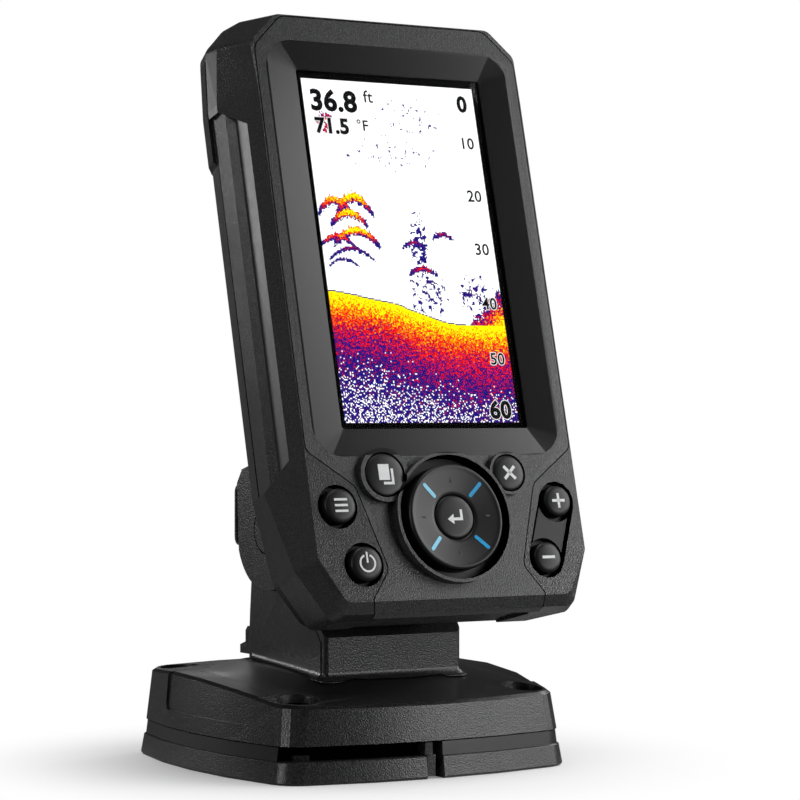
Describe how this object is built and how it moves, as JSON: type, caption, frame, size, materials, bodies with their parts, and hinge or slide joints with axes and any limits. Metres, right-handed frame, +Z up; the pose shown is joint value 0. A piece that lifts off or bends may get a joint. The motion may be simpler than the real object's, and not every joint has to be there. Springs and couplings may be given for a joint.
{
  "type": "fish finder",
  "caption": "Portrait fish finder with a round direction pad and keys under the screen, on a tilting head and a swivelling square base.",
  "frame": {"origin": "centre of the base's flat underside", "axes": "+Z up, the screen looks towards -Y, +X to the viewer's right"},
  "size_m": [0.0992, 0.1101, 0.2024],
  "materials": {
    "shell": "fine-textured black",
    "plate": "satin black",
    "key": "soft black",
    "rubber": "matte black",
    "lens": "clear",
    "panel": "lit screen",
    "board": "green lacquer",
    "steel": "stainless"
  },
  "bodies": {
    "base": {"base_plate": "shell"},
    "swivel_lock_lever": {"swivel_lock_lever": "shell"},
    "swivel": {"swivel_housing": "shell", "neck_cover": "shell", "latch_pin": "steel", "swivel_retainer": "steel", "retainer_screw_1": "steel", "retainer_screw_2": "steel", "retainer_screw_3": "steel"},
    "neck_latch": {"neck_latch": "shell"},
    "head": {"tilt_head": "shell", "tilt_pin": "steel", "pin_cap_left": "shell", "pin_cap_right": "shell", "rear_case": "shell", "front_frame": "shell", "face_plate": "plate", "housing_gasket": "rubber", "screen_lens": "lens", "lcd_module": "panel", "main_board": "board", "keypad_membrane": "rubber", "power_socket": "rubber", "transducer_socket": "rubber", "zoom_slot_insert": "plate", "case_screw_1": "steel", "case_screw_2": "steel", "case_screw_3": "steel", "case_screw_4": "steel", "board_screw_1": "steel", "board_screw_2": "steel", "board_screw_3": "steel", "board_screw_4": "steel"},
    "release_button": {"release_button": "shell"},
    "menu_button": {"menu_button": "key"},
    "pages_button": {"pages_button": "key"},
    "exit_button": {"exit_button": "key"},
    "power_button": {"power_button": "key"},
    "zoom_in_button": {"zoom_in_button": "key"},
    "zoom_out_button": {"zoom_out_button": "key"},
    "enter_button": {"enter_button": "key"},
    "pad_carrier": {"pad_carrier": "rubber"},
    "direction_pad": {"direction_pad": "key"}
  },
  "joints": [
    {"name": "base_swivel", "type": "hinge", "parent": "base", "child": "swivel", "pos_m": [0, 0, 0.01], "axis": [0, 0, 1], "range_deg": [-60, 60]},
    {"name": "display_tilt", "type": "hinge", "parent": "swivel", "child": "head", "pos_m": [0, 0, 0.064], "axis": [-1, 0, 0], "range_deg": [-10, 20]},
    {"name": "swivel_lock", "type": "hinge", "parent": "base", "child": "swivel_lock_lever", "pos_m": [-0.0028, -0.025, 0.0045], "axis": [0, 0, 1], "range_deg": [0, 5], "stiffness_Nm_per_rad": 0.6},
    {"name": "latch_pivot", "type": "hinge", "parent": "swivel", "child": "neck_latch", "pos_m": [0, 0.0169, 0.0335], "axis": [-1, 0, 0], "range_deg": [0, 6], "stiffness_Nm_per_rad": 0.5},
    {"name": "release_press", "type": "hinge", "parent": "head", "child": "release_button", "pos_m": [0, 0.0193, 0.0742], "axis": [-1, 0, 0], "range_deg": [0, 4], "stiffness_Nm_per_rad": 1},
    {"name": "menu_press", "type": "slide", "parent": "head", "child": "menu_button", "axis": [0, 0.9678, -0.2517], "range_m": [0, 0.0007], "stiffness_N_per_m": 2500},
    {"name": "pages_press", "type": "slide", "parent": "head", "child": "pages_button", "axis": [0, 0.9678, -0.2517], "range_m": [0, 0.0007], "stiffness_N_per_m": 2500},
    {"name": "exit_press", "type": "slide", "parent": "head", "child": "exit_button", "axis": [0, 0.9678, -0.2517], "range_m": [0, 0.0007], "stiffness_N_per_m": 2500},
    {"name": "power_press", "type": "slide", "parent": "head", "child": "power_button", "axis": [0, 0.9678, -0.2517], "range_m": [0, 0.0007], "stiffness_N_per_m": 2500},
    {"name": "zoom_in_press", "type": "slide", "parent": "head", "child": "zoom_in_button", "axis": [0, 0.9678, -0.2517], "range_m": [0, 0.0007], "stiffness_N_per_m": 2500},
    {"name": "zoom_out_press", "type": "slide", "parent": "head", "child": "zoom_out_button", "axis": [0, 0.9678, -0.2517], "range_m": [0, 0.0007], "stiffness_N_per_m": 2500},
    {"name": "enter_press", "type": "slide", "parent": "head", "child": "enter_button", "axis": [0, 0.9678, -0.2517], "range_m": [0, 0.0007], "stiffness_N_per_m": 2500},
    {"name": "pad_rock_sideways", "type": "hinge", "parent": "head", "child": "pad_carrier", "pos_m": [0, -0.04969, 0.06742], "axis": [0, 0.2517, 0.9678], "range_deg": [-1.5, 1.5], "stiffness_Nm_per_rad": 1.2},
    {"name": "pad_rock_updown", "type": "hinge", "parent": "pad_carrier", "child": "direction_pad", "pos_m": [0, -0.04969, 0.06742], "axis": [1, 0, 0], "range_deg": [-1.5, 1.5], "stiffness_Nm_per_rad": 1.2}
  ]
}
